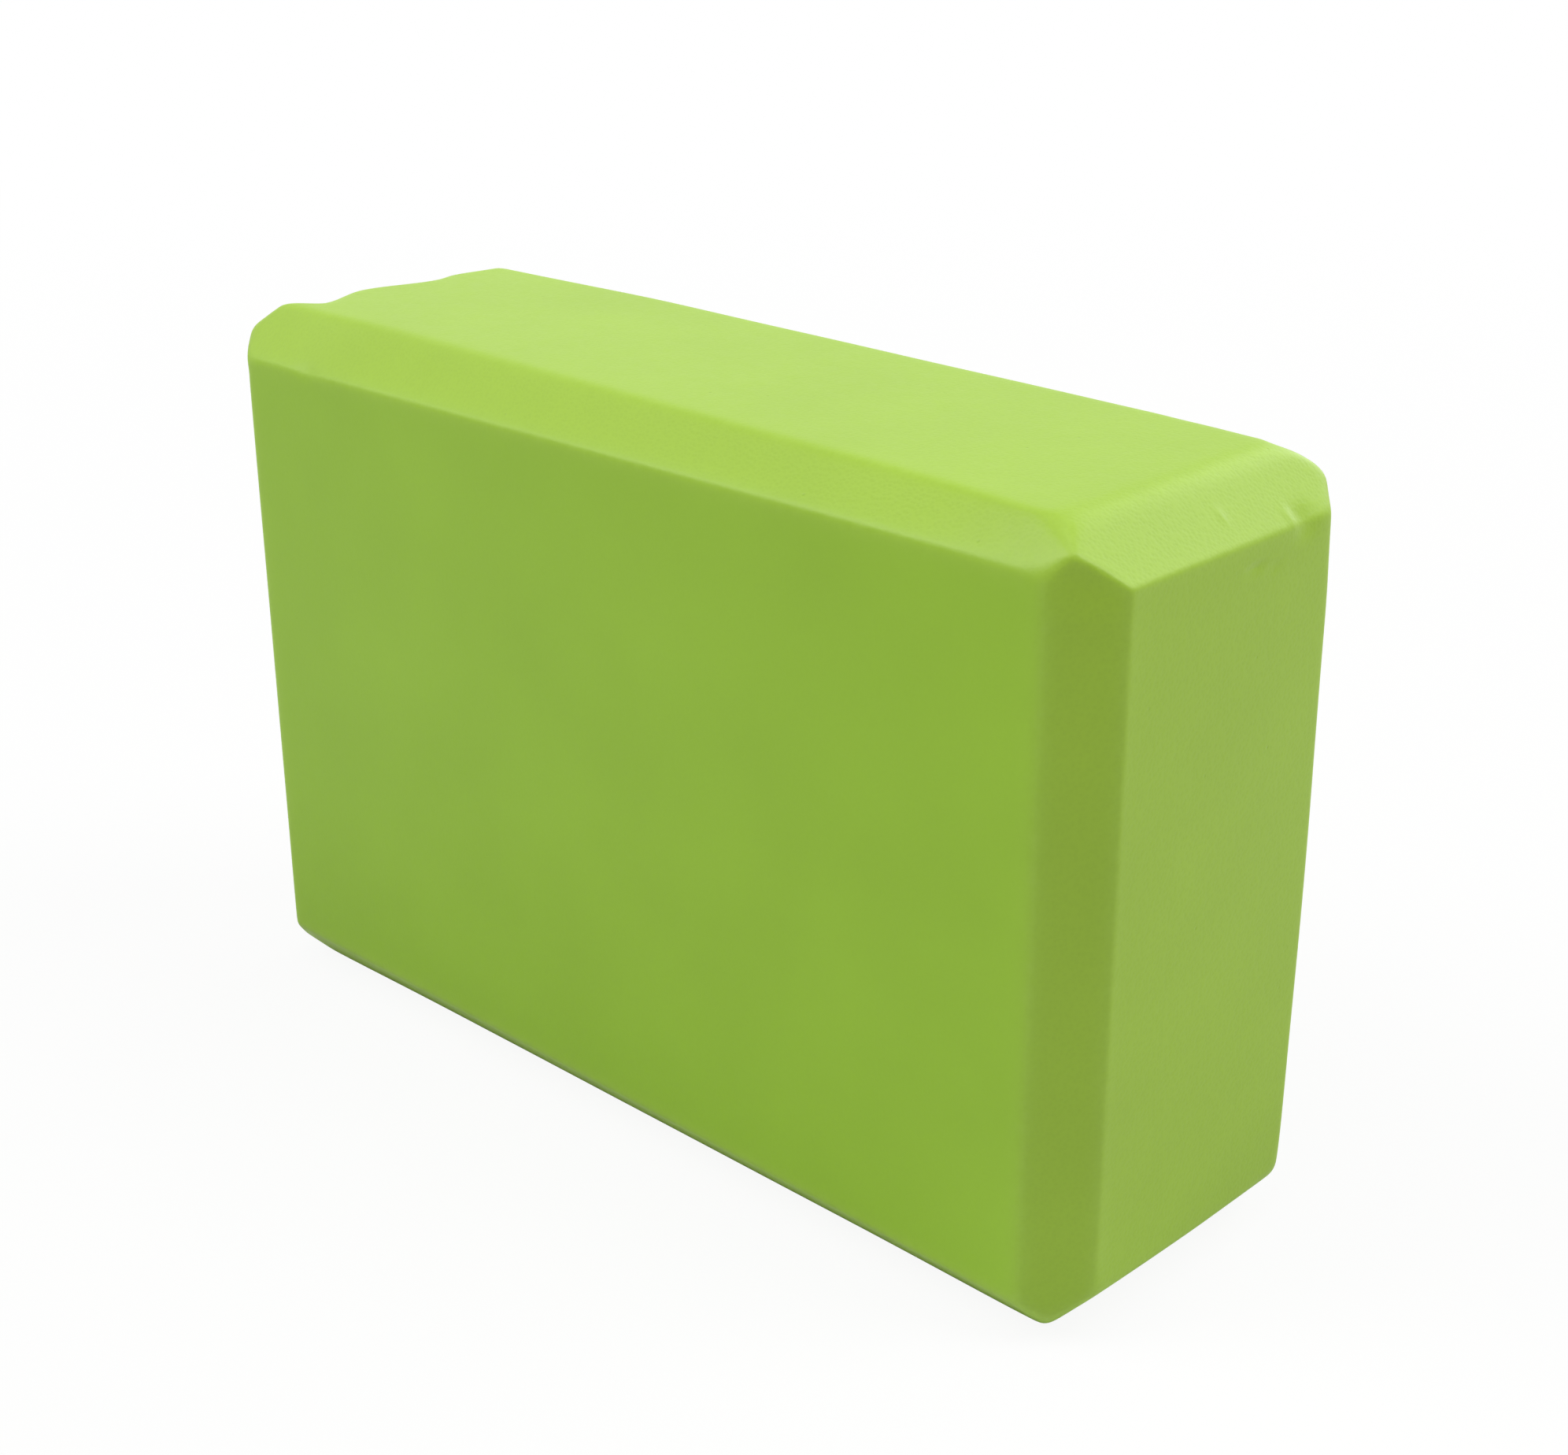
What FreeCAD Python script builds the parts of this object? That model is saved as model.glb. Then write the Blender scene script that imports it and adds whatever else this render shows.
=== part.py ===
import FreeCAD, Part
import os
import Sketcher

# A firm foam yoga block. Three closed-cell foam sheets are stuck face to face with contact adhesive,
# the stack is sawn to size, and all twelve edges are bevelled.
# The block stands on one long narrow side. X runs along its length, Y runs through the stack with the
# front at -Y, and Z runs up from the centre of the side that it stands on.

# Driving sizes in millimetres.
DRIVING_SIZES = [
    ("block_length", "228.6"),  # nine inches
    ("block_height", "152.4"),  # six inches
    ("sheet_thickness", "25.3"),  # inch stock, skimmed so that the stack comes to three inches
    ("glue_thickness", "0.15"),  # both coats of adhesive, pressed together
    ("glue_inset", "0.4"),  # how far the adhesive stops short of the sawn sides
    ("bevel", "9.5"),  # set-back of every bevel on each of its two faces
]

# Lines of a sketch are joined by their ends, and measured from the sketch's own origin.
LINE_START = 1
LINE_END = 2
SKETCH_ORIGIN = -1

# Places that the pieces share, written in the named sizes.
HALF_LENGTH = "Sizes.block_length / 2"
HEIGHT = "Sizes.block_height"
GROUND = "0"
BEVEL = "Sizes.bevel"
SHEET = "Sizes.sheet_thickness"
GLUE = "Sizes.glue_thickness"
GLUE_INSET = "Sizes.glue_inset"

# Which way a piece is built up from its own base plane.
FRONT = -1
MIDDLE = 0
BACK = 1


def fill_table(table, sizes):
    for row, (name, value) in enumerate(sizes, start=1):
        table.set(f"A{row}", name)
        table.set(f"B{row}", value)
        table.setAlias(f"B{row}", name)


def draw_loop(sketch, corners):
    # A closed outline whose corners are pairs of expressions: across and up in the sketch's plane.
    points = []
    for across, up in corners:
        points.append(FreeCAD.Vector(sketch.evalExpression(across), sketch.evalExpression(up), 0))
    first = sketch.GeometryCount
    count = len(points)
    for number in range(count):
        sketch.addGeometry(Part.LineSegment(points[number], points[(number + 1) % count]))
    for number, (across, up) in enumerate(corners):
        line = first + number
        following = first + (number + 1) % count
        sketch.addConstraint(Sketcher.Constraint("Coincident", line, LINE_END, following, LINE_START))
        start = points[number]
        for kind, place, value in (("DistanceX", across, start.x), ("DistanceY", up, start.y)):
            distance = Sketcher.Constraint(kind, SKETCH_ORIGIN, LINE_START, line, LINE_START, value)
            sketch.setExpression(f"Constraints[{sketch.addConstraint(distance)}]", place)


def make_sketch(body, name, role, loops):
    plane = next(feature for feature in body.Origin.OriginFeatures if feature.Role == role)
    sketch = body.newObject("Sketcher::SketchObject", name)
    sketch.AttachmentSupport = [(plane, "")]
    sketch.MapMode = "FlatFace"
    for corners in loops:
        draw_loop(sketch, corners)
    return sketch


def bevel_corner(across, up, inward_across, inward_up):
    # The triangle that a bevel takes off a corner, with both legs as long as the bevel's set-back.
    return [
        (across, up),
        (f"{across} {inward_across} {BEVEL}", up),
        (across, f"{up} {inward_up} {BEVEL}"),
    ]


def cut_bevels(body, name, role, triangles):
    # The bevelling cut runs along the whole edge, out through both of its ends.
    before = body.Tip.Shape.Volume
    pocket = body.newObject("PartDesign::Pocket", name)
    pocket.Profile = make_sketch(body, f"{name}_outline", role, triangles)
    pocket.Type = "ThroughAll"
    pocket.Midplane = True
    doc.recompute()
    if not pocket.Shape.Volume < before:
        raise SystemExit(f"{name} cuts nothing")


def saw_blank(label, side, thickness, inset, stand_off):
    # A rectangle of foam or adhesive. Its outline is drawn on the plane that faces the middle of the
    # stack, and it is built up from there towards its own side. The four corners are bevelled.
    body = doc.addObject("PartDesign::Body", label)
    body.Label = label
    body.setExpression("Placement.Base.y", stand_off)
    left, right = f"-({HALF_LENGTH} - {inset})", f"{HALF_LENGTH} - {inset}"
    bottom, top = f"{GROUND} + {inset}", f"{HEIGHT} - {inset}"
    blank = body.newObject("PartDesign::Pad", f"{label}_blank")
    rectangle = [(left, bottom), (right, bottom), (right, top), (left, top)]
    blank.Profile = make_sketch(body, f"{label}_rectangle", "XZ_Plane", [rectangle])
    blank.setExpression("Length", thickness)
    blank.Midplane = side == MIDDLE
    blank.Reversed = side == BACK
    doc.recompute()
    corners = [
        bevel_corner(left, bottom, "+", "+"),
        bevel_corner(right, bottom, "-", "+"),
        bevel_corner(right, top, "-", "-"),
        bevel_corner(left, top, "+", "-"),
    ]
    cut_bevels(body, f"{label}_corners", "XZ_Plane", corners)
    return body


def bevel_rim(body, side):
    # The four bevels round the outer face of a front or back sheet.
    label = body.Label
    outer = f"-{SHEET}" if side == FRONT else SHEET
    inward = "+" if side == FRONT else "-"
    left, right = f"-{HALF_LENGTH}", HALF_LENGTH
    long_edges = [bevel_corner(outer, GROUND, inward, "+"), bevel_corner(outer, HEIGHT, inward, "-")]
    cut_bevels(body, f"{label}_long_edges", "YZ_Plane", long_edges)
    upright_edges = [bevel_corner(left, outer, "+", inward), bevel_corner(right, outer, "-", inward)]
    cut_bevels(body, f"{label}_upright_edges", "XY_Plane", upright_edges)


def check_document(pieces):
    for thing in doc.Objects:
        if "Invalid" in thing.State or "Error" in thing.State:
            raise SystemExit(f"{thing.Name} failed: {thing.State}")
    for piece in pieces:
        if piece.Shape.isNull() or not piece.Shape.isValid():
            raise SystemExit(f"{piece.Label} has no valid shape")


doc = FreeCAD.newDocument("YogaBlock")
fill_table(doc.addObject("Spreadsheet::Sheet", "Sizes"), DRIVING_SIZES)
doc.recompute()

no_inset = GROUND
core_face = f"{SHEET} / 2"
glued_face = f"({core_face} + {GLUE})"

front_sheet = saw_blank("front_sheet", FRONT, SHEET, no_inset, f"-{glued_face}")
bevel_rim(front_sheet, FRONT)
front_glue = saw_blank("front_glue", FRONT, GLUE, GLUE_INSET, f"-{core_face}")
core_sheet = saw_blank("core_sheet", MIDDLE, SHEET, no_inset, GROUND)
back_glue = saw_blank("back_glue", BACK, GLUE, GLUE_INSET, core_face)
back_sheet = saw_blank("back_sheet", BACK, SHEET, no_inset, glued_face)
bevel_rim(back_sheet, BACK)

doc.recompute()
pieces = [front_sheet, front_glue, core_sheet, back_glue, back_sheet]
check_document(pieces)

os.makedirs("parts", exist_ok=True)
for piece in pieces:
    piece.Shape.exportStep(f"parts/{piece.Label}.step")
    box = piece.Shape.BoundBox
    print(f"{piece.Label}: {len(piece.Shape.Solids)} solid, {piece.Shape.Volume:.1f} mm3, "
          f"x {box.XMin:.3f} to {box.XMax:.3f}, y {box.YMin:.3f} to {box.YMax:.3f}, "
          f"z {box.ZMin:.3f} to {box.ZMax:.3f}")
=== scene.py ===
import math

import bpy
import numpy as np
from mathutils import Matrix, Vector


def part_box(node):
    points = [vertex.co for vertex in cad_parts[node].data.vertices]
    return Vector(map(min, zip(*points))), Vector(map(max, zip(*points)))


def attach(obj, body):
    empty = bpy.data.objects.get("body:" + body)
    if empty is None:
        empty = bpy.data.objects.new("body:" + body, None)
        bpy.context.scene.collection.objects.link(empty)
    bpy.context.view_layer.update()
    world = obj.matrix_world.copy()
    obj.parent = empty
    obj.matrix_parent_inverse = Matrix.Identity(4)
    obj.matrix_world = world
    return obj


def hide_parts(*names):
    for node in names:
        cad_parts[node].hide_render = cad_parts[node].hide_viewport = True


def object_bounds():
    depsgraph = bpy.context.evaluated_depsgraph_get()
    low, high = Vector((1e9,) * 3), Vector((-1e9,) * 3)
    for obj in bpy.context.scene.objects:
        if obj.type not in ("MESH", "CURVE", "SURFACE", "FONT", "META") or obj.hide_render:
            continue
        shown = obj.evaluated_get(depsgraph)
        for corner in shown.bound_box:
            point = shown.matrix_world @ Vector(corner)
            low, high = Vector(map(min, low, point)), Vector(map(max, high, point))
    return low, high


# A firm foam yoga block: three sheets of closed-cell foam stuck face to face, sawn to size and bevelled on
# every edge by hand. Shapes are worked out in millimetres and go into the meshes in metres.

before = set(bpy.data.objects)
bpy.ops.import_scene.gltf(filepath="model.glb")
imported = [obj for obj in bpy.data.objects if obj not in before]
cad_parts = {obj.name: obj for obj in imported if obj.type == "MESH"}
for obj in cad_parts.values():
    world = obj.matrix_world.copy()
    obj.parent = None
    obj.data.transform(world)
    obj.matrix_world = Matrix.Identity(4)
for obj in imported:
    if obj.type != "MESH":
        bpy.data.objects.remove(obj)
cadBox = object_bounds()
mm = 0.001
low, high = (np.array(corner) / mm for corner in cadBox)
print("frame: block of", np.round(high - low, 2), "mm")

block = {
    "coreDepth": 18.0,  # rays to the surface start this far in, deeper than any bevel
    "solveSteps": 12,
    "leastSlope": 1e-6,  # a ray that nears a plane more slowly than this never meets it
    # set-back of each bevel on its first and on its second face, at the low and at the high end of the edge
    "bevels": {
        ("top", "front"): ((12.4, 8.2), (10.0, 7.2)),
        ("top", "back"): ((9.2, 8.3), (9.6, 9.3)),
        ("base", "front"): ((9.6, 8.6), (10.6, 9.0)),
        ("base", "back"): ((9.4, 9.7), (9.5, 9.3)),
        ("front", "left"): ((9.4, 8.2), (9.4, 9.2)),
        ("front", "right"): ((9.6, 10.4), (10.0, 9.3)),
        ("back", "left"): ((9.3, 9.6), (9.7, 9.4)),
        ("back", "right"): ((8.9, 9.3), (8.2, 8.8)),
        ("top", "left"): ((12.2, 12.6), (9.8, 10.0)),
        ("top", "right"): ((12.2, 10.6), (9.7, 10.5)),
        ("base", "left"): ((9.6, 9.3), (9.2, 9.5)),
        ("base", "right"): ((9.8, 9.7), (10.75, 9.5)),
    },
    # edges that were trimmed unevenly: share of the way along from the low end, extra set-back on each face
    "trims": {
        ("top", "left"): (
            (0.0, 0.13, 0.225, 0.39, 0.62, 0.69, 0.84, 1.0),
            (-3.84, -4.63, 1.58, -2.48, 1.35, 0.34, 1.81, 1.81),
            (-3.08, -2.8, -2.3, -1.2, 0.0, 0.15, 0.4, 0.6)),
        ("top", "front"): (
            (0.0, 0.06, 0.2, 0.82, 0.95, 1.0),
            (-1.8, -1.5, 0.0, 0.0, -1.6, -1.7),
            (0.0, 0.0, 0.0, 0.0, 0.4, 0.4)),
        ("top", "back"): (
            (0.0, 0.04, 0.3, 0.83, 0.87, 0.94, 0.97, 1.0),
            (2.75, 2.75, 0.0, 0.0, 0.4, 1.1, -0.2, -0.3),
            (2.85, 2.85, 0.0, 0.0, 0.0, 0.0, 0.0, 0.0)),
        ("base", "front"): ((0.0, 0.25, 0.75, 1.0), (0.0, 0.5, 0.45, 0.0), (0.0, 0.25, 0.2, 0.0)),
        ("base", "right"): ((0.0, 0.5, 0.8, 1.0), (0.0, -0.25, 0.05, 0.0), (0.0, -0.25, 0.05, 0.0)),
        ("front", "left"): ((0.0, 0.91, 0.96, 1.0), (0.0, 0.0, -0.9, -0.9), (0.0, 0.0, -0.9, -0.9)),
        ("front", "right"): ((0.0, 0.9, 0.97, 1.0), (0.0, 0.0, 0.5, 0.5), (0.0, 0.0, 0.5, 0.5)),
        ("back", "right"): (
            (0.0, 0.5, 0.8, 0.92, 1.0),
            (0.1, -0.8, -0.3, 0.3, -0.5),
            (0.1, -0.8, -0.3, 0.3, -0.5)),
    },
    "arrisRadius": 2.0,  # how round the foam leaves a cut arris
    "turnSharpness": 9.1,  # over a radius, this rounds a 45 degree turn to that radius
    "softReach": 4.5,  # a rounder arris fades out over this distance,
    "softShare": 0.6,  # or over this share of its radius where that is more
    # arrises that handling has rounded: bevel, face it runs into, radius at the low and at the high end
    "softArrises": (
        (("top", "front"), "top", (4.2, 3.6)),
        (("top", "front"), "front", (3.0, 3.0)),
        (("top", "right"), "top", (9.0, 9.5)),
        (("top", "left"), "top", (4.0, 3.5)),
        (("top", "back"), "top", (2.4, 6.5)),
        (("front", "right"), "front", (5.0, 6.0)),
        (("front", "left"), "front", (2.6, 2.8)),
        (("top", "back"), "back", (2.8, 3.4)),
        (("back", "left"), "back", (3.2, 2.6)),
    ),
    "cornerReach": 12.0,  # a rounder corner fades out over this distance
    "softCorners": {
        ("base", "front", "left"): 7.0,
        ("base", "front", "right"): 12.0,
        ("top", "front", "left"): 9.0,
        ("top", "back", "right"): 8.0,
        ("top", "back", "left"): 9.0,
        ("base", "back", "right"): 15.0,
    },
    # knocks, most of them near the far top corner of the right end: place, spread and depth, less than
    # nothing where the foam was pushed up
    "knocks": (
        ((113.8, 21.5, 141.8), (3.0, 3.4, 2.4), 0.7),
        ((113.0, 17.4, 143.5), (2.2, 1.1, 2.2), -0.19),
        ((110.2, 1.8, 147.2), (1.6, 0.9, 1.6), -0.2),
        ((114.3, 6.2, 137.6), (1.5, 2.6, 0.8), 0.3),
        ((114.3, 11.6, 136.2), (1.5, 2.2, 0.7), 0.25),
        ((-86.2, -37.5, 143.0), (3.6, 1.5, 1.5), 0.3),
    ),
    "hollowDepth": 0.07,  # the pressed sheets aren't quite flat
    "hollowSize": 46.0,
    # pairs of waves that make the hollows: axis, rate and start of each
    "hollowWaves": (
        ((0, 1.0, 0.9), (2, 0.83, 0.4)),
        ((1, 0.71, 1.3), (0, 0.92, 2.1)),
        ((2, 0.64, 1.7), (1, 0.87, 0.2)),
    ),
    "bevelStep": 7.0,  # sets the drag lines of one bevel apart from the next
    "rubReach": 0.8,  # how far the rubbed look reaches from an arris
}

faceAt = {  # axis and side of each face
    "left": (0, -1), "right": (0, 1), "front": (1, -1), "back": (1, 1), "base": (2, -1), "top": (2, 1),
}
faceNames = list(faceAt)
bevelNames = list(block["bevels"])
noTrim = ((0, 1), (0, 0), (0, 0))  # in the form of a row of trims


def facePlace(face):
    # Where a face stands on its axis.
    axis, side = faceAt[face]
    return high[axis] if side > 0 else low[axis]


def easedCurve(shares, values, at):
    # Values joined by ease-in, ease-out steps, so the curve is level at every given point.
    shares, values = np.array(shares), np.array(values)
    span = np.clip(np.searchsorted(shares, at) - 1, 0, len(shares) - 2)
    part = np.clip((at - shares[span]) / (shares[span + 1] - shares[span]), 0, 1)
    return values[span] + (values[span + 1] - values[span]) * part * part * (3 - 2 * part)


def edgeAxis(bevel):
    # The axis that a bevel's edge runs along, which neither of its two faces stands across.
    taken = [faceAt[face][0] for face in bevel]
    return next(axis for axis in range(3) if axis not in taken)


def alongShare(bevel, points):
    # How far along a bevel's edge a point lies, from the low end to the high end.
    along = edgeAxis(bevel)
    return (points[:, along] - low[along]) / (high - low)[along]


def setBacks(bevel, share):
    # Set-backs on a bevel's two faces at a share of the way along it: even from end to end, then trimmed.
    shares, *extras = block["trims"].get(bevel, noTrim)
    return [np.interp(share, (0, 1), ends) + easedCurve(shares, extra, share)
            for ends, extra in zip(block["bevels"][bevel], extras)]


def planeGaps(starts, rays, points):
    # How far each start stands out of every face and bevel, and how fast that grows along its ray.
    # A bevel is the plane through its two set-backs at that place along its edge, so it may twist.
    gaps, slopes = [], []
    for face, (axis, side) in faceAt.items():
        gaps.append(side * (starts[:, axis] - facePlace(face)))
        slopes.append(side * rays[:, axis])
    for bevel in bevelNames:
        first, second = setBacks(bevel, alongShare(bevel, points))
        slant = np.hypot(first, second)
        rows = [faceNames.index(face) for face in bevel]
        gaps.append((first * gaps[rows[0]] + second * gaps[rows[1]] + first * second) / slant)
        slopes.append((first * slopes[rows[0]] + second * slopes[rows[1]]) / slant)
    return np.stack(gaps, 1), np.stack(slopes, 1)


def arrisRadii(points):
    # The common radius, raised near each rounder arris and corner by a bell curve of the distance from it.
    common = block["arrisRadius"]
    radii = np.full(len(points), common)
    for bevel, face, radiusAtEnds in block["softArrises"]:
        other = bevel[1 - bevel.index(face)]
        (faceAxis, _), (otherAxis, otherSide) = faceAt[face], faceAt[other]
        share = alongShare(bevel, points)
        setBack = setBacks(bevel, share)[bevel.index(face)]
        away = np.hypot(points[:, faceAxis] - facePlace(face),
                        points[:, otherAxis] - facePlace(other) + otherSide * setBack)
        radius = np.interp(share, (0, 1), radiusAtEnds)
        reach = np.maximum(block["softReach"], block["softShare"] * radius)
        radii = np.maximum(radii, common + (radius - common) * np.exp(-(away / reach) ** 2))
    for faces, radius in block["softCorners"].items():
        corner = np.zeros(3)
        for face in faces:
            corner[faceAt[face][0]] = facePlace(face)
        away = np.linalg.norm(points - corner, axis=1)
        radii = np.maximum(radii, common + (radius - common) * np.exp(-(away / block["cornerReach"]) ** 2))
    return radii


def sunkDepth(points):
    # Knocks are bell curves of the distance from their middle. Slow hollows are the mean of the products
    # of each pair of sines, brought to between nothing and one.
    depth = np.zeros(len(points))
    for centre, spread, deep in block["knocks"]:
        depth += deep * np.exp(-(((points - centre) / spread) ** 2).sum(1))
    turn = points * (2 * math.pi / block["hollowSize"])
    waves = []
    for pair in block["hollowWaves"]:
        first, second = (np.sin(rate * turn[:, axis] + start) for axis, rate, start in pair)
        waves.append(first * second)
    return depth + block["hollowDepth"] * (1 + np.mean(waves, 0)) / 2


def blockSurface(points, inset=0.0):
    # Every point goes out along the ray from the nearest point of an inner core box. The ray ends where
    # log(sum(exp(sharpness * excess))) over all planes is zero: the bevelled block with soft arrises. Excess
    # is how far a point stands out of a plane. Steps along the slope find the zero, and knocks and hollows
    # then draw the point back along its ray.
    core = np.clip(points, low + block["coreDepth"], high - block["coreDepth"])
    reach = points - core
    furthest = np.abs(reach).max(1)
    outer = furthest > 0
    core, reach, furthest = core[outer], reach[outer], furthest[outer]
    rayLength = np.linalg.norm(reach, axis=1)
    ray = reach / rayLength[:, None]
    excess, slopes = planeGaps(core, ray, points[outer])
    leastSlope = block["leastSlope"]
    distance = np.where(slopes > leastSlope, -excess / np.maximum(slopes, leastSlope), np.inf).min(1)
    sharpness = block["turnSharpness"] / arrisRadii(core + ray * distance[:, None])
    for step in range(block["solveSteps"]):
        sums = sharpness[:, None] * (excess + distance[:, None] * slopes)
        top = sums.max(1)
        weights = np.exp(sums - top[:, None])
        total = weights.sum(1)
        distance -= (top + np.log(total)) / sharpness * total / (weights * slopes).sum(1)
    nearness = excess + distance[:, None] * slopes
    nearness = np.exp((nearness - nearness.max(1)[:, None]) / block["rubReach"])
    nearness /= nearness.sum(1)[:, None]
    onSurface = core + ray * distance[:, None]
    offBase = 1 - nearness[:, faceNames.index("base")]  # the side that it stands on stays flat
    distance -= sunkDepth(onSurface) * offBase + inset
    toBox = rayLength * block["coreDepth"] / furthest
    moved = points.copy()
    moved[outer] = core + reach * (distance / toBox)[:, None]
    looks = {name: np.zeros(len(points)) for name in ("arris", "skin", "bevel")}
    looks["arris"][outer] = np.clip(2 * (1 - nearness.max(1)), 0, 1)  # full where two planes are as near
    looks["skin"][outer] = nearness[:, faceNames.index("front")] + nearness[:, faceNames.index("back")]
    looks["bevel"][outer] = nearness[:, len(faceAt):].sum(1)
    looks["cut"] = np.zeros((len(points), 3))
    looks["cut"][outer] = cutPlaces(onSurface, nearness[:, len(faceAt):].argmax(1))
    return moved, looks


def cutPlaces(points, number):
    # On the bevel of that number: the way along it, the way up its slant, taken as 45 degrees, and a step
    # that sets bevels apart.
    gaps = np.stack([side * (points[:, axis] - facePlace(face)) for face, (axis, side) in faceAt.items()], 1)
    faces = np.array([[faceNames.index(face) for face in bevel] for bevel in bevelNames])
    axes = np.array([edgeAxis(bevel) for bevel in bevelNames])
    rows = np.arange(len(points))
    across = (gaps[rows, faces[number, 0]] - gaps[rows, faces[number, 1]]) / math.sqrt(2)
    return np.stack([points[rows, axes[number]], across, number * block["bevelStep"]], 1)


def boxShell(xs, ys, zs):
    # A box's skin as a lattice: each skin point numbered once, and the quads of its six sides facing out.
    # Points on the front and back rims, where the sides turn square into the ends, are marked.
    shape = (len(xs), len(ys), len(zs))
    steps = np.indices(shape)
    ends = np.array(shape).reshape(3, 1, 1, 1) - 1
    atEnd = (steps == 0) | (steps == ends)
    onSkin = atEnd.any(0)
    number = np.full(shape, -1)
    number[onSkin] = np.arange(onSkin.sum())
    points = np.stack([xs[steps[0][onSkin]], ys[steps[1][onSkin]], zs[steps[2][onSkin]]], 1)
    quads = []
    for axis in range(3):
        for side in (0, -1):
            grid = np.take(number, side, axis)
            around = [grid[:-1, :-1], grid[1:, :-1], grid[1:, 1:], grid[:-1, 1:]]
            turned = (side == 0) != (axis == 1)  # low sides run the other way round, and so do those across y
            quads.append(np.stack(around[::-1] if turned else around, -1).reshape(-1, 4))
    onRim = (atEnd[1] & (atEnd[0] | atEnd[2]))[onSkin]
    return points, np.concatenate(quads), onRim


def addPiece(name, points, quads, material, looks=None, crisp=None):
    # A smooth mesh with its looks as attributes; an edge between two crisp points is left square.
    mesh = bpy.data.meshes.new(name)
    mesh.from_pydata(points * mm, [], quads)
    mesh.polygons.foreach_set("use_smooth", np.ones(len(quads), bool))
    for look, values in (looks or {}).items():
        kind, field = ("FLOAT", "value") if values.ndim == 1 else ("FLOAT_VECTOR", "vector")
        mesh.attributes.new(look, kind, "POINT").data.foreach_set(field, values.ravel())
    if crisp is not None:
        ends = np.zeros(len(mesh.edges) * 2, int)
        mesh.edges.foreach_get("vertices", ends)
        square = crisp[ends].reshape(-1, 2).all(1)
        mesh.attributes.new("sharp_edge", "BOOLEAN", "EDGE").data.foreach_set("value", square)
    mesh.materials.append(material)
    piece = bpy.data.objects.new(name, mesh)
    bpy.context.scene.collection.objects.link(piece)
    return piece


def hexLinear(code):
    # sRGB hex to linear, by the standard's two-part curve, with nothing see-through.
    values = np.array([int(code[at:at + 2], 16) for at in (1, 3, 5)]) / 255
    linear = np.where(values <= 0.04045, values / 12.92, ((values + 0.055) / 1.055) ** 2.4)
    return [*linear, 1.0]


def addNode(tree, kind, settings=None, links=None):
    # A node with its sockets or properties set, and other nodes' outputs linked into its inputs. A number
    # names a socket by its place; a colour mix has its share at 0 and its two colours at 6 and 7.
    node = tree.nodes.new(kind)
    for name, value in (settings or {}).items():
        if isinstance(name, int) or name in node.inputs:
            node.inputs[name].default_value = value
        else:
            setattr(node, name, value)
    for name, output in (links or {}).items():
        tree.links.new(output, node.inputs[name])
    return node


def newMaterial(name):
    # A material with an empty tree.
    material = bpy.data.materials.new(name)
    material.use_nodes = True
    material.node_tree.nodes.clear()
    return material, material.node_tree


evaFoam = {
    "deepTone": "#96ba2a",  # the pigment drifts slowly between these two
    "paleTone": "#a0c630",
    "skinTint": "#f4fedc",  # the pressed skin is a shade deeper than cut foam
    "cellShade": "#7fa522",  # painted shade inside a cut cell
    "rubbedTone": "#b6d56c",  # foam stretched thin along a rubbed arris
    "driftSize": 34.0,
    "driftDetail": 2.0,
    "cellSize": 0.8,  # cells of 0.15 mm would not show, so they are drawn this coarse
    "cellDepth": 0.022,
    "cupReach": 0.7,  # share of the cells' spacing at which a cup reaches the surface
    "cellShadeShare": 0.14,
    "skinFlatness": 0.6,  # how much the pressed skin closes the cells on the two large faces
    "grainSize": 2.6,
    "grainDetail": 3.0,
    "grainCoarseness": 0.6,
    "grainDepth": 0.026,
    "poreSpacing": 6.0,
    "poreSize": 0.45,  # the few large bubbles
    "poreDepth": 0.06,
    "poreShade": 0.45,
    "poreShare": 0.3,
    "rubbedShare": 0.3,
    "dragWidth": 0.9,  # fine lines that the knife left along the bevels, drawn coarser than they are
    "dragLength": 42.0,
    "dragDetail": 2.0,
    "dragDepth": 0.01,
    "roughness": (0.35, 0.45),
    "arrisDulling": 0.05,  # rubbed arrises lose their gloss
    "ior": 1.44,
    "sheen": 0.03,
    "sheenRoughness": 0.45,
    "sheenTint": "#fbffe6",
}


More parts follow.
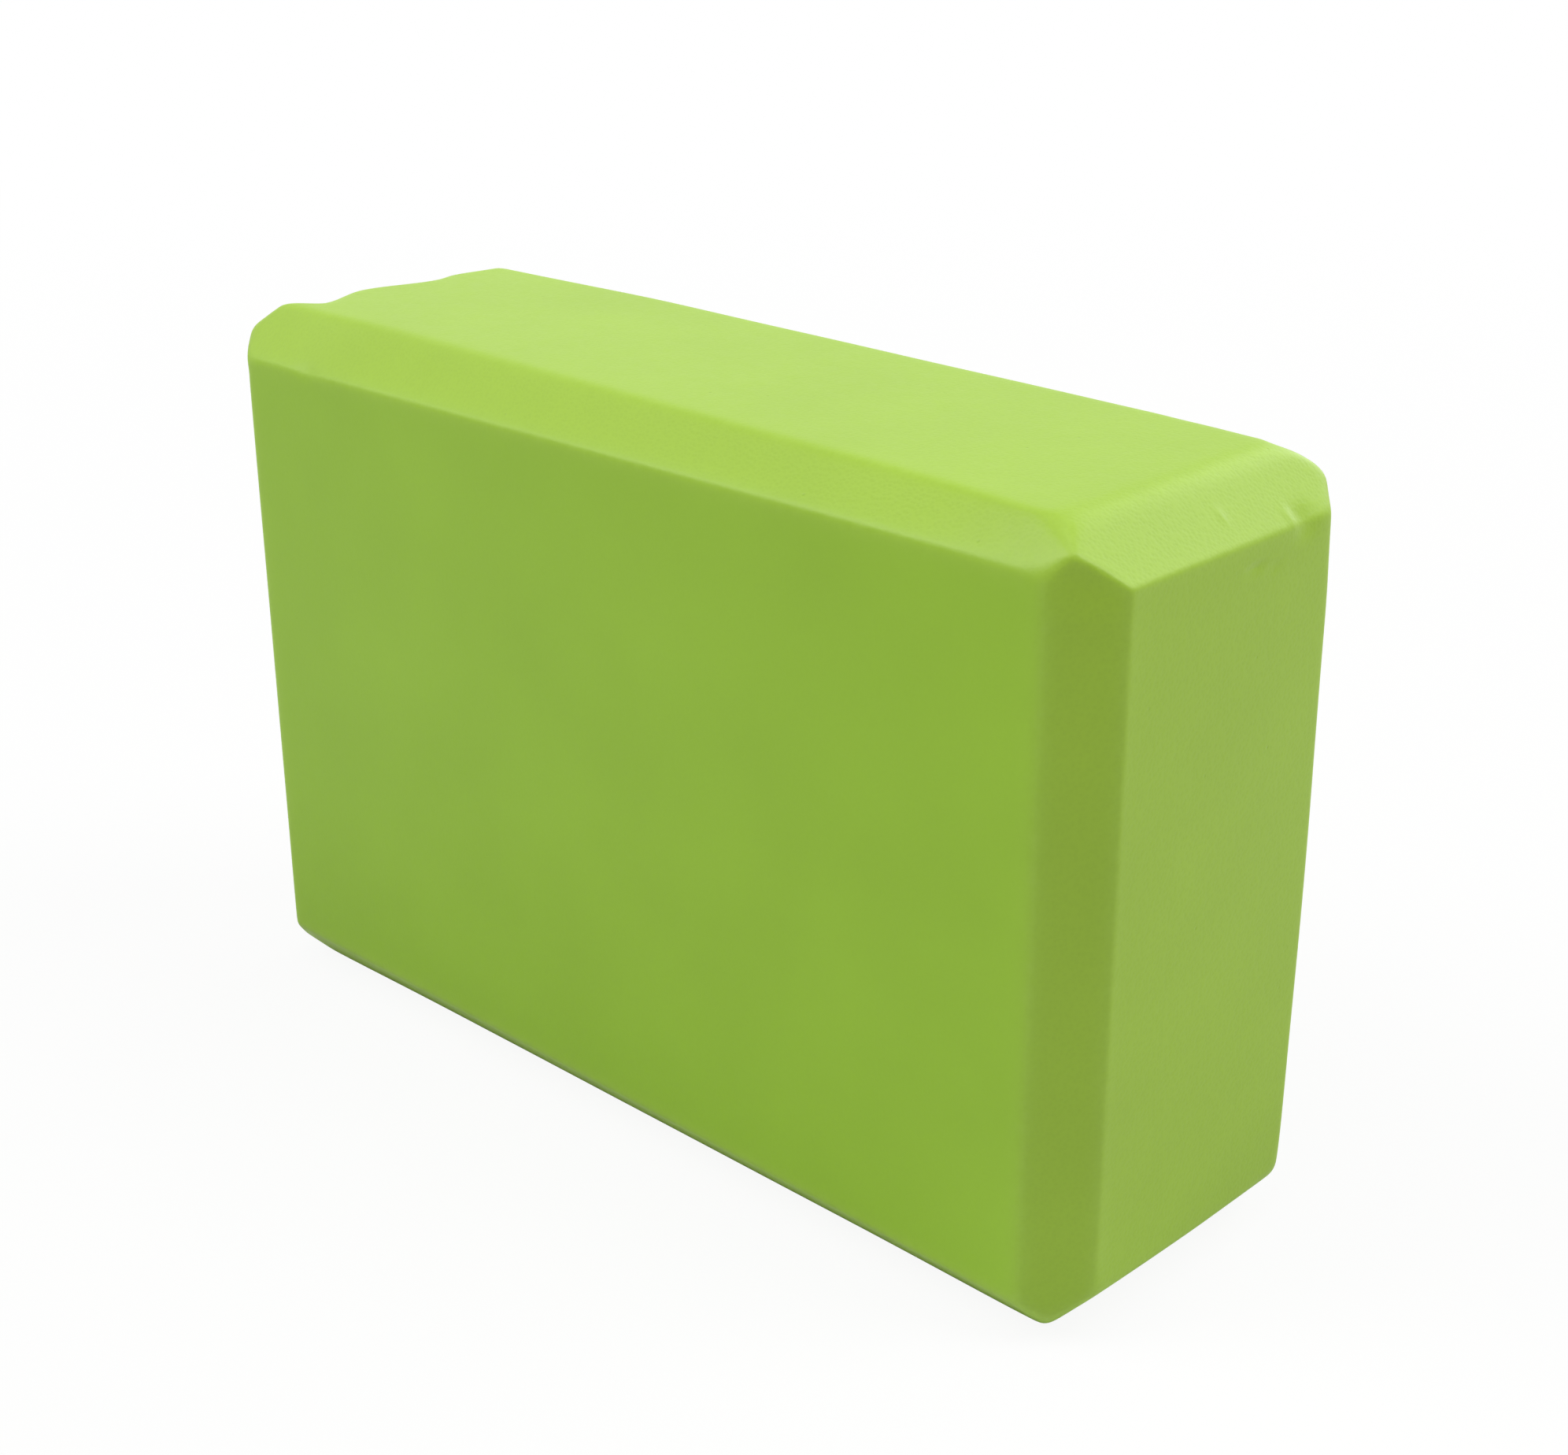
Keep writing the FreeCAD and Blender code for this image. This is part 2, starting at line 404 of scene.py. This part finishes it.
def evaFoamMaterial():
    # Closed-cell EVA foam, pressed in sheets and cut with a knife: solid pigment, a soft low gloss that
    # pales at a slant, a fine stipple of cut cells and a few larger bubbles, both with painted shade in them,
    # drag lines along the cuts, and rubbed arrises.
    material, tree = newMaterial("closedCellEvaFoam")
    place = addNode(tree, "ShaderNodeTexCoord").outputs["Object"]
    arris, skin, bevel, cut = (
        addNode(tree, "ShaderNodeAttribute", {"attribute_name": name}).outputs[output]
        for name, output in (("arris", "Fac"), ("skin", "Fac"), ("bevel", "Fac"), ("cut", "Vector")))
    drift = addNode(tree, "ShaderNodeTexNoise", {
        "Scale": 1 / (evaFoam["driftSize"] * mm), "Detail": evaFoam["driftDetail"]}, {"Vector": place})
    grain = addNode(tree, "ShaderNodeTexNoise", {
        "Scale": 1 / (evaFoam["grainSize"] * mm), "Detail": evaFoam["grainDetail"],
        "Roughness": evaFoam["grainCoarseness"]}, {"Vector": place})
    cells = addNode(tree, "ShaderNodeTexVoronoi", {
        "Scale": 1 / (evaFoam["cellSize"] * mm)}, {"Vector": place})
    pores = addNode(tree, "ShaderNodeTexVoronoi", {
        "Scale": 1 / (evaFoam["poreSpacing"] * mm)}, {"Vector": place})
    lines = addNode(tree, "ShaderNodeMapping", {
        "Scale": (1 / evaFoam["dragLength"], 1 / evaFoam["dragWidth"], 1.0)}, {"Vector": cut})
    drag = addNode(tree, "ShaderNodeTexNoise", {"Scale": 1.0, "Detail": evaFoam["dragDetail"]}, {
        "Vector": lines.outputs[0]})

    # cut cells are cups: deepest at their middle, shallower under the pressed skin
    cups = addNode(tree, "ShaderNodeMapRange", {
        "From Max": evaFoam["cupReach"], "To Min": 1.0, "To Max": 0.0}, {"Value": cells.outputs["Distance"]})
    openness = addNode(tree, "ShaderNodeMapRange", {"To Min": 1.0, "To Max": 1 - evaFoam["skinFlatness"]}, {
        "Value": skin})
    openCups = addNode(tree, "ShaderNodeMath", {"operation": "MULTIPLY"}, {
        0: cups.outputs[0], 1: openness.outputs[0]})
    # a bubble is a round pit in some of the wide cells
    pit = addNode(tree, "ShaderNodeMapRange", {
        "interpolation_type": "SMOOTHSTEP", "From Max": evaFoam["poreSize"] / evaFoam["poreSpacing"],
        "To Min": 1.0, "To Max": 0.0}, {"Value": pores.outputs["Distance"]})
    chosen = addNode(tree, "ShaderNodeMath", {"operation": "LESS_THAN", 1: evaFoam["poreShare"]}, {
        0: pores.outputs["Color"]})
    bubbles = addNode(tree, "ShaderNodeMath", {"operation": "MULTIPLY"}, {
        0: pit.outputs[0], 1: chosen.outputs[0]})

    tone = addNode(tree, "ShaderNodeMix", {
        "data_type": "RGBA", 6: hexLinear(evaFoam["deepTone"]), 7: hexLinear(evaFoam["paleTone"])}, {
        0: drift.outputs[0]})
    skinned = addNode(tree, "ShaderNodeMix", {
        "data_type": "RGBA", "blend_type": "MULTIPLY", 7: hexLinear(evaFoam["skinTint"])}, {
        0: skin, 6: tone.outputs[2]})
    # painted shade: the colour goes towards the cell shade in each cut cell's cup, and further in each bubble
    poreShade = addNode(tree, "ShaderNodeMath", {"operation": "MULTIPLY", 1: evaFoam["poreShade"]}, {
        0: bubbles.outputs[0]})
    shadeShare = addNode(tree, "ShaderNodeMath", {
        "operation": "MULTIPLY_ADD", 1: evaFoam["cellShadeShare"]}, {
        0: openCups.outputs[0], 2: poreShade.outputs[0]})
    shaded = addNode(tree, "ShaderNodeMix", {"data_type": "RGBA", 7: hexLinear(evaFoam["cellShade"])}, {
        0: shadeShare.outputs[0], 6: skinned.outputs[2]})
    rubbed = addNode(tree, "ShaderNodeMath", {"operation": "MULTIPLY"}, {0: arris, 1: grain.outputs[0]})
    rubShare = addNode(tree, "ShaderNodeMath", {"operation": "MULTIPLY", 1: evaFoam["rubbedShare"]}, {
        0: rubbed.outputs[0]})
    color = addNode(tree, "ShaderNodeMix", {"data_type": "RGBA", 7: hexLinear(evaFoam["rubbedTone"])}, {
        0: rubShare.outputs[0], 6: shaded.outputs[2]})

    roughness = addNode(tree, "ShaderNodeMapRange", {
        "To Min": evaFoam["roughness"][0], "To Max": evaFoam["roughness"][1]}, {"Value": grain.outputs[0]})
    dulled = addNode(tree, "ShaderNodeMath", {"operation": "MULTIPLY_ADD", 1: evaFoam["arrisDulling"]}, {
        0: arris, 2: roughness.outputs[0]})

    # heights in millimetres, added up
    grainHeight = addNode(tree, "ShaderNodeMath", {"operation": "MULTIPLY", 1: evaFoam["grainDepth"]}, {
        0: grain.outputs[0]})
    withCells = addNode(tree, "ShaderNodeMath", {"operation": "MULTIPLY_ADD", 1: -evaFoam["cellDepth"]}, {
        0: openCups.outputs[0], 2: grainHeight.outputs[0]})
    withPores = addNode(tree, "ShaderNodeMath", {"operation": "MULTIPLY_ADD", 1: -evaFoam["poreDepth"]}, {
        0: bubbles.outputs[0], 2: withCells.outputs[0]})
    dragOnBevel = addNode(tree, "ShaderNodeMath", {"operation": "MULTIPLY"}, {0: drag.outputs[0], 1: bevel})
    height = addNode(tree, "ShaderNodeMath", {"operation": "MULTIPLY_ADD", 1: evaFoam["dragDepth"]}, {
        0: dragOnBevel.outputs[0], 2: withPores.outputs[0]})
    bump = addNode(tree, "ShaderNodeBump", {"Strength": 1.0, "Distance": mm}, {"Height": height.outputs[0]})

    surface = addNode(tree, "ShaderNodeBsdfPrincipled", {
        "IOR": evaFoam["ior"], "Sheen Weight": evaFoam["sheen"], "Sheen Roughness": evaFoam["sheenRoughness"],
        "Sheen Tint": hexLinear(evaFoam["sheenTint"])}, {
        "Base Color": color.outputs[2], "Roughness": dulled.outputs[0], "Normal": bump.outputs[0]})
    addNode(tree, "ShaderNodeOutputMaterial", links={"Surface": surface.outputs["BSDF"]})
    return material


adhesive = {
    "thinTone": "#9cc12e",
    "thickTone": "#97bb2c",
    "lumpSize": 3.0,  # brushed on and pressed out, so it lies in small lumps
    "lumpDetail": 2.0,
    "lumpDepth": 0.01,
    "roughness": (0.34, 0.44),
    "ior": 1.48,
    "inset": 0.004,  # below the sawn sides
}


def adhesiveMaterial():
    # Dried contact adhesive: a clear rubbery film that takes the foam's colour, a little deeper and glossier.
    material, tree = newMaterial("contactAdhesive")
    place = addNode(tree, "ShaderNodeTexCoord").outputs["Object"]
    lumps = addNode(tree, "ShaderNodeTexNoise", {
        "Scale": 1 / (adhesive["lumpSize"] * mm), "Detail": adhesive["lumpDetail"]}, {"Vector": place})
    color = addNode(tree, "ShaderNodeMix", {
        "data_type": "RGBA", 6: hexLinear(adhesive["thinTone"]), 7: hexLinear(adhesive["thickTone"])}, {
        0: lumps.outputs[0]})
    roughness = addNode(tree, "ShaderNodeMapRange", {
        "To Min": adhesive["roughness"][0], "To Max": adhesive["roughness"][1]}, {"Value": lumps.outputs[0]})
    bump = addNode(tree, "ShaderNodeBump", {"Distance": adhesive["lumpDepth"] * mm}, {
        "Height": lumps.outputs[0]})
    surface = addNode(tree, "ShaderNodeBsdfPrincipled", {"IOR": adhesive["ior"]}, {
        "Base Color": color.outputs[2], "Roughness": roughness.outputs[0], "Normal": bump.outputs[0]})
    addNode(tree, "ShaderNodeOutputMaterial", links={"Surface": surface.outputs["BSDF"]})
    return material


grid = {
    # from, to and step in from a face, ending just past the core's depth
    "bevelLines": ((0.0, 6.0, 0.75), (6.0, 15.0, 0.4), (15.0, 18.01, 1.0)),
    "seamLines": (0.0, 0.5),  # in from a glued face
    "openStep": 3.0,  # spacing on the flats
    "markLines": (-92.0, -81.0, 0.8),  # finer along the length where the front arris is marked
    "seamStep": 0.5,  # spacing across a sheet's thickness
}


def latticeLines(start, stop, startLines, stopLines, step):
    # Fine lines near both ends and even ones between them.
    first, last = start + np.array(startLines), stop - np.array(stopLines)[::-1]
    count = max(2, round((last[0] - first[-1]) / step) + 1)
    return np.concatenate([first[:-1], np.linspace(first[-1], last[0], count), last[1:]])


bevelLines = np.concatenate([np.arange(*stretch) for stretch in grid["bevelLines"]])
lengthLines = latticeLines(low[0], high[0], bevelLines, bevelLines, grid["openStep"])
markLines = np.arange(*grid["markLines"])
besideMark = (lengthLines < markLines[0]) | (lengthLines > markLines[-1])
lengthLines = np.sort(np.concatenate([lengthLines[besideMark], markLines]))
heightLines = latticeLines(low[2], high[2], bevelLines, bevelLines, grid["openStep"])


def foamSheet(node, frontLines, backLines, material):
    # A box lattice between the sheet's two faces, pushed out to the block's surface, with square glued rims.
    sheetLow, sheetHigh = (np.array(corner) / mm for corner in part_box(node))
    acrossLines = latticeLines(sheetLow[1], sheetHigh[1], frontLines, backLines, grid["seamStep"])
    points, quads, onRim = boxShell(lengthLines, acrossLines, heightLines)
    glued = (points[:, 1] > low[1]) & (points[:, 1] < high[1])
    moved, looks = blockSurface(points)
    piece = addPiece(node + "Foam", moved, quads, material, looks, onRim & glued)
    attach(piece, "root")
    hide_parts(node)
    print("foam:", piece.name, len(piece.data.polygons) * 2, "triangles")


def glueFilm(node, material):
    # The same lattice with nothing between its two faces, kept just below the foam's surface.
    filmLow, filmHigh = (np.array(corner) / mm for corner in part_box(node))
    points, quads, onRim = boxShell(lengthLines, np.array([filmLow[1], filmHigh[1]]), heightLines)
    moved, _ = blockSurface(points, adhesive["inset"])
    piece = addPiece(node + "Film", moved, quads, material, crisp=onRim)
    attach(piece, "root")
    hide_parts(node)
    print("glue:", piece.name, len(piece.data.polygons) * 2, "triangles")


foam = evaFoamMaterial()
glue = adhesiveMaterial()
seamLines = grid["seamLines"]
foamSheet("front_sheet", bevelLines, seamLines, foam)
foamSheet("core_sheet", seamLines, seamLines, foam)
foamSheet("back_sheet", seamLines, bevelLines, foam)
glueFilm("front_glue", glue)
glueFilm("back_glue", glue)

stage = {
    "halfWidth": 6000.0,
    "color": "#e8e8e6",
    "whiteShare": 0.92,  # of what the camera sees beside the block; the rest shows its shadow
    "shadowReach": (350.0, 1100.0),  # past this the paper is plain white to the camera
}


def paperFloor():
    # A flat square of white paper, seen by the camera mostly as plain white and lit like paper for the rest.
    material, tree = newMaterial("whitePaper")
    path = addNode(tree, "ShaderNodeLightPath")
    seen = addNode(tree, "ShaderNodeMath", {"operation": "MAXIMUM"}, {
        0: path.outputs["Is Camera Ray"], 1: path.outputs["Is Transmission Ray"]})
    place = addNode(tree, "ShaderNodeTexCoord").outputs["Object"]
    away = addNode(tree, "ShaderNodeVectorMath", {"operation": "LENGTH"}, {0: place})
    near, far = stage["shadowReach"]
    white = addNode(tree, "ShaderNodeMapRange", {
        "interpolation_type": "SMOOTHSTEP", "From Min": near * mm, "From Max": far * mm,
        "To Min": stage["whiteShare"], "To Max": 1.0}, {"Value": away.outputs["Value"]})
    share = addNode(tree, "ShaderNodeMath", {"operation": "MULTIPLY"}, {
        0: seen.outputs[0], 1: white.outputs[0]})
    paper = addNode(tree, "ShaderNodeBsdfDiffuse", {"Color": hexLinear(stage["color"])})
    plain = addNode(tree, "ShaderNodeEmission", {"Strength": 1.0})
    mixed = addNode(tree, "ShaderNodeMixShader", links={
        0: share.outputs[0], 1: paper.outputs[0], 2: plain.outputs[0]})
    addNode(tree, "ShaderNodeOutputMaterial", links={"Surface": mixed.outputs[0]})
    side = np.array([-1.0, 1.0]) * stage["halfWidth"]
    across, deep = np.meshgrid(side, side)
    points = np.stack([across.ravel(), deep.ravel(), np.full(across.size, low[2])], 1)
    roundSquare = np.array([[0, 1, 3, 2]])  # the corners in order round it
    floor = addPiece("paperFloor", points, roundSquare, material)


paperFloor()

lamps = {
    "size": 2.8,  # metres, as the places are
    "color": "#ffffff",
    "places": {
        "overhead": (0.0, 0.0, 5.2),
        "highFront": (0.0, -2.6, 4.58),
        "leftFront": (-2.46, -2.74, 3.76),
        "highRightBack": (2.78, 1.85, 4.1),
        "lowBack": (0.0, 4.8, 2.3),
    },
    "watts": {
        "overhead": 62.6,
        "highFront": 44.7,
        "leftFront": 134.9,
        "highRightBack": 157.3,
        "lowBack": 71.7,
    },
}


def studioLamps():
    # Square soft lamps, each turned to the middle of the block.
    target = Vector((low + high) / 2 * mm)
    for name, place in lamps["places"].items():
        light = bpy.data.lights.new(name, "AREA")
        light.size = lamps["size"]
        light.energy = lamps["watts"][name]
        light.color = hexLinear(lamps["color"])[:3]
        holder = bpy.data.objects.new(name, light)
        holder.location = place
        holder.rotation_euler = (target - holder.location).to_track_quat("-Z", "Y").to_euler()
        bpy.context.scene.collection.objects.link(holder)


def whiteRoom():
    # Plain white to the camera, in gloss and through clear things. It adds no other light: the lamps do.
    world = bpy.data.worlds.new("whiteRoom")
    world.use_nodes = True
    tree = world.node_tree
    tree.nodes.clear()
    path = addNode(tree, "ShaderNodeLightPath")
    seen = addNode(tree, "ShaderNodeMath", {"operation": "MAXIMUM"}, {
        0: path.outputs["Is Camera Ray"], 1: path.outputs["Is Glossy Ray"]})
    either = addNode(tree, "ShaderNodeMath", {"operation": "MAXIMUM"}, {
        0: seen.outputs[0], 1: path.outputs["Is Transmission Ray"]})
    white = addNode(tree, "ShaderNodeBackground", {"Color": hexLinear("#ffffff")}, {
        "Strength": either.outputs[0]})
    addNode(tree, "ShaderNodeOutputWorld", links={"Surface": white.outputs[0]})
    bpy.context.scene.world = world


studioLamps()
whiteRoom()

viewpoint = {
    "azimuth": 43.40,  # degrees round from the front towards the right end
    "elevation": 22.73,
    "distance": 501.8,  # from the aim point
    "aim": (12.24, 0.0, 81.36),
    "lens": 58.08,
    "sensorWidth": 36.0,
}


def photoCamera():
    # Back from the aim point along the two angles, looking at it.
    turn, tilt = math.radians(viewpoint["azimuth"]), math.radians(viewpoint["elevation"])
    back = Vector((math.sin(turn) * math.cos(tilt), -math.cos(turn) * math.cos(tilt), math.sin(tilt)))
    data = bpy.data.cameras.new("photoCamera")
    data.lens = viewpoint["lens"]
    data.sensor_width = viewpoint["sensorWidth"]
    camera = bpy.data.objects.new("photoCamera", data)
    camera.location = (Vector(viewpoint["aim"]) + back * viewpoint["distance"]) * mm
    camera.rotation_euler = (-back).to_track_quat("-Z", "Y").to_euler()
    bpy.context.scene.collection.objects.link(camera)
    bpy.context.scene.camera = camera


photoCamera()
bpy.context.scene.view_settings.view_transform = "Standard"
print("stage: floor, lamps and camera")
